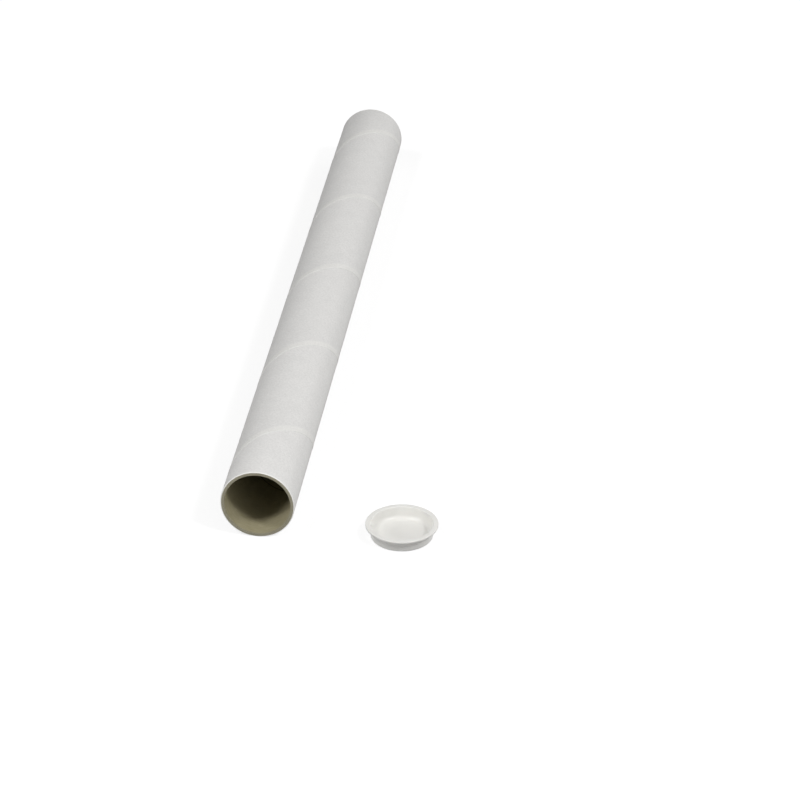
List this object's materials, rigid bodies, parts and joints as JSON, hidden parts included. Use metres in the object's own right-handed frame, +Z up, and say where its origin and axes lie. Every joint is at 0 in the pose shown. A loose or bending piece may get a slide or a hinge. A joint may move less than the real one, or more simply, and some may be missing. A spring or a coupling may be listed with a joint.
{
  "type": "paper mailing tube with plug caps",
  "caption": "Long white spiral-wound paper tube lying on its side, open at one end with its round plug cap set down beside it, closed at the other by a matching cap.",
  "frame": {"origin": "on the floor, under the middle of the box round the tube and its loose cap", "axes": "+Z up; +Y along the tube from its open mouth to its closed far end; the loose cap lies on the +X side of the mouth"},
  "size_m": [0.1628, 0.684, 0.0565],
  "materials": {
    "tube_paper": "matt white paper ply over brown kraft board",
    "far_cap_plastic": "satin moulded",
    "loose_cap_plastic": "satin moulded"
  },
  "bodies": {
    "tube_body": {"tube": "tube_paper", "loose_cap": "loose_cap_plastic"},
    "far_cap_body": {"far_cap": "far_cap_plastic"}
  },
  "joints": [
    {"name": "far_cap_pull", "type": "slide", "parent": "tube_body", "child": "far_cap_body", "axis": [0, 1, 0], "range_m": [0, 0.03]}
  ]
}
